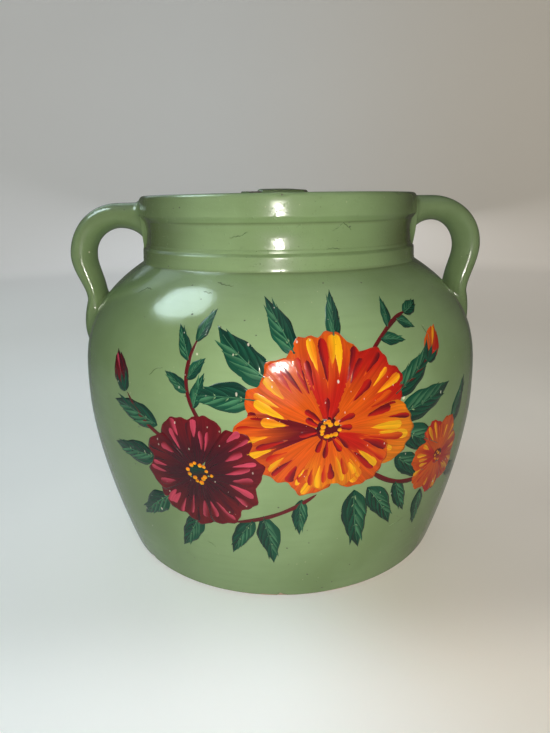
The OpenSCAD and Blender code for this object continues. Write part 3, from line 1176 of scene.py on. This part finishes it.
def strokePetal(spot, level, under, choices, count, widths):
    # loose strokes over a petal, each with its own place, length, width and paint
    for k in range(count):
        v = -0.85 + 1.7 * (k + vary(0.25, 0.75)) / count
        group, tones = choices[brushRandom.integers(len(choices))]
        start = vary(0.26, 0.6)
        reach = (start, min(0.97, start + vary(0.34, 0.6)))
        width = vary(*widths)
        layer = level + 0.4 + 0.06 * (k % 3)
        alongPetal(group, spot, v, reach, width, tones, layer, under, vary(-0.3, 0.3))


def paintLargeBloom(centre):
    yellows = (("yellow", "amber"), ("yellow", "yellow"), ("amber", "yellow"))
    reds = (("red", "maroon"), ("red", "orange"), ("maroon", "red"))
    warm = [("yellowStrokes", tones) for tones in yellows] + [("redStrokes", tones) for tones in reds]
    for degrees, length, width, tones, level in (
        (92, 37, 38, ("red", "orange"), 1.0),
        (143, 35, 38, ("orange", "orange"), 1.25),
        (38, 38, 35, ("orange", "red"), 1.25),
        (192, 38, 33, ("maroon", "orange"), 2.0),
        (-10, 39, 32, ("orange", "amber"), 2.0),
        (237, 30, 34, ("orange", "orange"), 2.75),
        (314, 31, 31, ("red", "orange"), 2.75),
        (275, 26, 30, ("orange", "amber"), 3.5),
    ):
        spot = petalShape(centre, degrees, length, width, vary(0.02, 0.09))
        addPetal("orangePetals", spot, tones, level)
        strokePetal(spot, level, "orange", warm, 7, (3.2, 6.4))
    for k in range(11):
        turn = k * 32.7 + vary(-9, 9)
        start = np.asarray(centre) + heading(turn) * 3
        reach, bend = vary(6, 10), vary(-0.3, 0.3)
        dab("redStrokes", start, turn, reach, 3.2, ("maroon", "red"), 4.3, bend, dry=0.3, under="orange")
    dot("redStrokes", centre, 9.5, ("maroon", "burgundy"), 4.8)
    paintSeeds(centre, 12, 3.4, 1.8, 5.4)


def paintSeeds(centre, count, radius, size, level):
    for k in range(count):
        away = heading(k * 360 / count + vary(-8, 8)) * radius * vary(0.6, 1.35)
        seed = size * vary(0.75, 1.2)
        dot("yellowStrokes", np.asarray(centre) + away, seed, ("yellow", "amber"), level)


def paintRose(centre, radius):
    pinks = (("pink", "maroon"), ("pink", "pink"), ("maroon", "pink"))
    deep = [("pinkStrokes", tones) for tones in pinks] + [("burgundyPetals", ("maroon", "burgundy"))]
    for k, level in enumerate((1.0, 1.9, 1.0, 1.9, 2.6)):
        turn = 98 + 72 * k + vary(-5, 5)
        spot = petalShape(centre, turn, radius * vary(0.94, 1.06), radius * 1.2, 0.14)
        addPetal("burgundyPetals", spot, ("burgundy", "maroon"), level)
        strokePetal(spot, level, "burgundy", deep, 6, (2.8, 5.4))
    dot("burgundyPetals", centre, 8, ("burgundy", "leafDark"), 3.7)
    paintSeeds(centre, 13, 4.6, 1.7, 4.3)


def paintSmallBloom(centre, radius):
    warm = [
        ("yellowStrokes", ("yellow", "amber")),
        ("redStrokes", ("red", "orange")),
        ("yellowStrokes", ("amber", "yellow")),
    ]
    grounds = (("red", "orange"), ("orange", "orange"), ("orange", "red"))
    for k in range(7):
        level = 1.0 + 0.8 * (k % 2)
        spot = petalShape(centre, 12 + 51.4 * k, radius * vary(0.9, 1.1), radius * 0.94)
        addPetal("orangePetals", spot, grounds[k % 3], level)
        strokePetal(spot, level, "orange", warm, 4, (2.2, 3.6))
    dot("redStrokes", centre, 7, ("red", "maroon"), 3.0)
    paintSeeds(centre, 7, 2.2, 1.4, 3.6)


def paintBud(base, degrees, length, tones, petals, shine, shineTones):
    base, ahead = np.asarray(base), heading(degrees)
    for turn, share, level in ((-20, 0.86, 1.2), (20, 0.86, 1.2), (0, 1, 1.6)):
        dab(petals, base, degrees + turn, length * share, length * 0.44, tones, level, -turn / 90, "leaf")
    dab(shine, base + ahead * length * 0.3, degrees + 5, length * 0.6, 2.2, shineTones, 2.6)
    start, green = base - ahead * 2, ("leafDark", "leaf")
    for turn in (-44, 0, 44):
        dab("leafVeins", start, degrees + turn, length * 0.55, 3.2, green, 2.0, -turn / 120, "leaf")


def paintStem(points, width):
    points = np.asarray(points, float)
    u = np.linspace(0, 1, brush["stemAlong"])[:, None]
    path = (1 - u) ** 2 * points[0] + 2 * u * (1 - u) * points[1] + u * u * points[2]
    addStroke("stemStrokes", path, width / 2 * profiles["line"](u[:, 0]), ("stem", "maroon"), 0.6)
    return path


def paintSprig(points, width, count, length):
    # a thin stem with small leaves set off to both sides
    path = paintStem(points, width)
    for k in range(count):
        i = int((0.3 + 0.68 * k / (count - 1)) * (len(path) - 2))
        ahead = path[i + 1] - path[i]
        turn = math.degrees(math.atan2(ahead[1], ahead[0])) + (38 if k % 2 else -38) * (k < count - 1)
        leaf(path[i], turn, length * (1 - 0.12 * (k % 3)), length * 0.36, 0.1 if k % 2 else -0.1)


def paintSpray():
    paintStem(((30, 66), (48, 50), (70, 58)), 2.2)
    paintStem(((34, 96), (52, 100), (60, 108)), 2.0)
    paintStem(((-48, 76), (-66, 82), (-75, 95)), 2.0)
    paintStem(((8, 58), (-8, 46), (-28, 44)), 1.9)
    paintSprig(((-34, 84), (-50, 100), (-40, 121)), 1.7, 5, 15)
    paintSprig(((30, 112), (42, 124), (56, 126)), 1.6, 4, 13)
    for base, turn, length, bend in (
        ((42, 88), 6, 33, 0.12), ((44, 80), -20, 31, -0.1), ((40, 96), 28, 27, 0.14),
        ((42, 70), -38, 27, 0.12), ((-8, 104), 148, 32, -0.12), ((-14, 98), 172, 30, 0.14),
        ((0, 114), 118, 24, 0.1), ((16, 118), 84, 18, -0.1), ((-58, 84), 160, 27, 0.12),
        ((-60, 70), 188, 28, -0.12), ((-56, 52), 212, 27, 0.1), ((-42, 46), 243, 25, -0.1),
        ((-18, 46), 232, 22, 0.14), ((-14, 48), 284, 26, -0.1), ((2, 56), 262, 18, 0.1),
        ((24, 58), 274, 32, 0.12), ((30, 58), 312, 27, -0.14), ((44, 58), 290, 20, 0.1),
        ((78, 74), 52, 24, 0.1), ((82, 52), -30, 21, 0.1), ((62, 48), 268, 20, 0.12),
    ):
        leaf(base, turn, length, length * 0.38, bend)
    paintLargeBloom((12, 86))
    paintRose((-40, 66), 27)
    paintSmallBloom((70, 62), 18)
    paintBud((-77, 97), 116, 16, ("burgundy", "maroon"), "burgundyPetals", "pinkStrokes", ("pink", "maroon"))
    paintBud((61, 108), 50, 15, ("red", "orange"), "orangePetals", "yellowStrokes", ("yellow", "amber"))


wear = {  # hairs and drips caught in the enamel, as paths of (millimetres round the belly, height)
    "width": 0.42,
    "height": 0.15,
    "along": 26,
    "hairs": [
        ((27.5, 157.4), (31, 158.6), (34.5, 160.8), (38.5, 158.9), (41, 157.6)),
        ((-37, 155.2), (-33.5, 155.8), (-29, 156.2)),
        ((-29, 156.3), (-25.5, 157.6)),
        ((-40.5, 138.4), (-36, 137.6), (-30.5, 137.2)),
        ((-46, 135.2), (-41, 134.6)),
        ((-91, 132.4), (-86, 134.6), (-81, 134.2)),
        ((24, 150.3), (28, 150.7), (33, 150.2)),
        ((46, 33), (50, 33.9), (54, 35.2)),
        ((-41, 31), (-39, 30.2), (-37.5, 28.2)),
        ((-62, 104), (-59, 107), (-55, 108)),
        ((62, 120), (64, 116), (63, 112)),
    ],
}


def addHairs():
    for points in wear["hairs"]:
        points = np.array(points, float)
        reach = runLength(points)
        even = np.linspace(0, reach[-1], wear["along"])
        path = np.stack([np.interp(even, reach, points[:, k]) for k in range(2)], axis=1)
        path[:, 1] += 0.12 * np.sin(even * 2.3 + points[0, 0])
        half = wear["width"] / 2 * profiles["line"](np.linspace(0, 1, wear["along"]))
        addStroke("hairMarks", path, half, ("hair", "ground"), 0, film=wear["height"])


paintSpray()
addHairs()
for group in sorted(films):
    store = films[group]
    verts, dry = np.concatenate(store["verts"]), np.concatenate(store["dry"])
    piece = addPiece(group, verts, store["faces"], "pot", brushPaint, dry=dry)
    for name in ("paint", "under"):
        values = np.c_[np.concatenate(store[name]), np.ones(store["count"])]
        paintMask(piece, name, values, "FLOAT_COLOR", "color")
    paintMask(piece, "brush", np.concatenate(store["brush"]), "FLOAT_VECTOR", "vector")
print("brushwork made:", ", ".join(sorted(films)))


# Stage and light

stage = {
    "floor": 1.5,
    "cove": 0.6,
    "height": 3.2,
    "around": 96,
    "rough": 0.55,
    "colour": "e7ebec",
    "shade": "dde2e3",
    "far": "d6d8d6",
    # painted shade: the floor turns warmer and darker to the right, as if lit by dimmer, warmer light there
    "warm": "efe2d3",
    "warmShadeSide": (-0.15, 0.55, 0, 0.9),  # how far to the right the floor turns warm, and how much
    "mirrored": "454441",  # what the enamel mirrors of the room
    "mirroredShare": (-0.05, 0.4, 0.5, 0.92),  # from the front to the back of the floor
    "near": 0.15,  # where the floor starts to turn darker, and where it ends
    "end": 0.6,
    "glow": 0.34,  # what the floor shows the camera besides the light that falls on it
    "farGlow": 0.3,
    "wallGlow": 0.42,
    "sideGlow": 0.01,
    # painted pool of light on the floor in front of the jar: its strength, where it begins and is full, and
    # where it fades out
    "paintedLightPool": 0.26,  # on the floor in front of the jar
    "lightPool": (0.08, 0.145),  # where it begins and is full
    "lightPoolFade": (0.18, 0.42),
}


def seenRays(tree):
    # 1 where the camera looks, straight or by way of a mirror or a glass
    rays = node(tree, "LightPath").outputs
    mirrors = maths(tree, "MAXIMUM", rays["Is Glossy Ray"], rays["Is Transmission Ray"])
    return maths(tree, "MAXIMUM", rays["Is Camera Ray"], mirrors)


def makeStage():
    outline = [(0, 0), (stage["floor"], 0)]
    for angle in np.radians(np.linspace(0, 90, 17)[1:]):
        r = stage["floor"] + stage["cove"] * math.sin(angle)
        outline.append((r, stage["cove"] * (1 - math.cos(angle))))
    outline.append((stage["floor"] + stage["cove"], stage["height"]))
    verts, faces = lathe(outline[::-1], stage["around"])
    mesh = bpy.data.meshes.new("backdrop")
    mesh.from_pydata(verts.tolist(), [], faces)
    mesh.shade_smooth()
    backdrop = bpy.data.objects.new("backdrop", mesh)
    bpy.context.scene.collection.objects.link(backdrop)
    material, tree, shader = surface("paleBackdrop", stage["rough"])
    place = objectPlace(tree)
    axes = node(tree, "SeparateXYZ", {"Vector": place}).outputs
    out = node(tree, "VectorMath", {0: place}, operation="LENGTH").outputs["Value"]
    cloudy = ramp(tree, noise(tree, place, 3, 3), 0.3, 0.7)
    colour = mixColour(tree, cloudy, rgba(stage["colour"]), rgba(stage["shade"]))
    colour = mixColour(tree, ramp(tree, out, stage["near"], stage["end"]), colour, rgba(stage["far"]))
    # painted shade: warmer and darker to the right
    aside = maths(tree, "DIVIDE", axes["X"], maths(tree, "MAXIMUM", out, 0.05))
    warm = ramp(tree, aside, *stage["warmShadeSide"])
    colour = mixColour(tree, warm, colour, rgba(stage["warm"]), "MULTIPLY")
    mirrored = node(tree, "LightPath").outputs["Is Glossy Ray"]
    dim = times(tree, mirrored, ramp(tree, axes["Y"], *stage["mirroredShare"]))
    colour = mixColour(tree, dim, colour, rgba(stage["mirrored"]))
    tree.links.new(colour, shader.inputs["Base Color"])
    tree.links.new(colour, shader.inputs["Emission Color"])
    glow = ramp(tree, out, stage["near"], stage["end"], stage["glow"], stage["farGlow"])
    glow = maths(tree, "MAXIMUM", glow, ramp(tree, out, stage["end"], stage["floor"], 0, stage["wallGlow"]))
    glow = plus(tree, glow, ramp(tree, axes["X"], 0, 0.4, 0, stage["sideGlow"]))
    # painted pool of light on the floor in front of the jar
    ahead = times(tree, axes["Y"], -1)
    lightPool = ramp(tree, ahead, *stage["lightPool"], 0, stage["paintedLightPool"])
    glow = plus(tree, glow, times(tree, lightPool, ramp(tree, out, *stage["lightPoolFade"], 1, 0)))
    tree.links.new(times(tree, glow, seenRays(tree)), shader.inputs["Emission Strength"])
    mesh.materials.append(material)


lamps = {  # azimuth, elevation, distance, size, power, colour
    "window": (-102, 52, 1.1, 0.5, 6.2, "e2fcfd"),
    "sky": (-103, 46, 1.2, 0.8, 2.6, "e2fcfd"),
    "flash": (-3.4, 16, 0.305, 0.014, 0.36, "fffaf0"),
    "front": (-3.4, 6, 0.305, 0.13, 0.157, "fffaf0"),
    "fill": (4, 17, 1.6, 1.2, 4.8, "fff0dc"),
    "back": (172, 28, 1.6, 1.8, 7.5, "f4f6ff"),
    "right": (126, 26, 1.3, 0.9, 0.5, "fff4e6"),
    "side": (-152, 34, 1.5, 0.9, 1.7, "e2fcfd"),
}
lampKinds = {
    "mirrored": ("window", "flash", "side"),  # these show in the enamel, and the others light it
    "tall": {"window": 0.52},
    "spread": {"front": 100},
    "aim": (0, 0, 0.1),
}
room = {
    "colour": "f2f4f6",
    "strength": 0.07,
    "shown": 0.48,  # what the camera sees past the backdrop
}


def addLamp(name, azimuth, elevation, distance, size, power, colour):
    data = bpy.data.lights.new(name + "Lamp", "AREA")
    data.shape = "ELLIPSE"
    data.size = size
    data.size_y = lampKinds["tall"].get(name, size)
    data.spread = math.radians(lampKinds["spread"].get(name, 180))
    data.energy = power
    data.color = linear(colour)
    made = bpy.data.objects.new(name + "Lamp", data)
    bpy.context.scene.collection.objects.link(made)
    azimuth, elevation = math.radians(azimuth), math.radians(elevation)
    level = math.cos(elevation)
    away = Vector((math.sin(azimuth) * level, -math.cos(azimuth) * level, math.sin(elevation)))
    made.location = Vector(lampKinds["aim"]) + away * distance
    made.rotation_euler = away.to_track_quat("Z", "Y").to_euler()
    made.visible_glossy = name in lampKinds["mirrored"]
    made.visible_diffuse = name not in lampKinds["mirrored"]


makeStage()
for lampName, values in lamps.items():
    addLamp(lampName, *values)
world = bpy.data.worlds.new("softRoom")
world.use_nodes = True
background = world.node_tree.nodes["Background"]
background.inputs["Color"].default_value = rgba(room["colour"])
shown = ramp(world.node_tree, seenRays(world.node_tree), 0, 1, room["strength"], room["shown"])
world.node_tree.links.new(shown, background.inputs["Strength"])
bpy.context.scene.world = world
bpy.context.scene.view_settings.view_transform = "Standard"
print("stage and lamps placed")
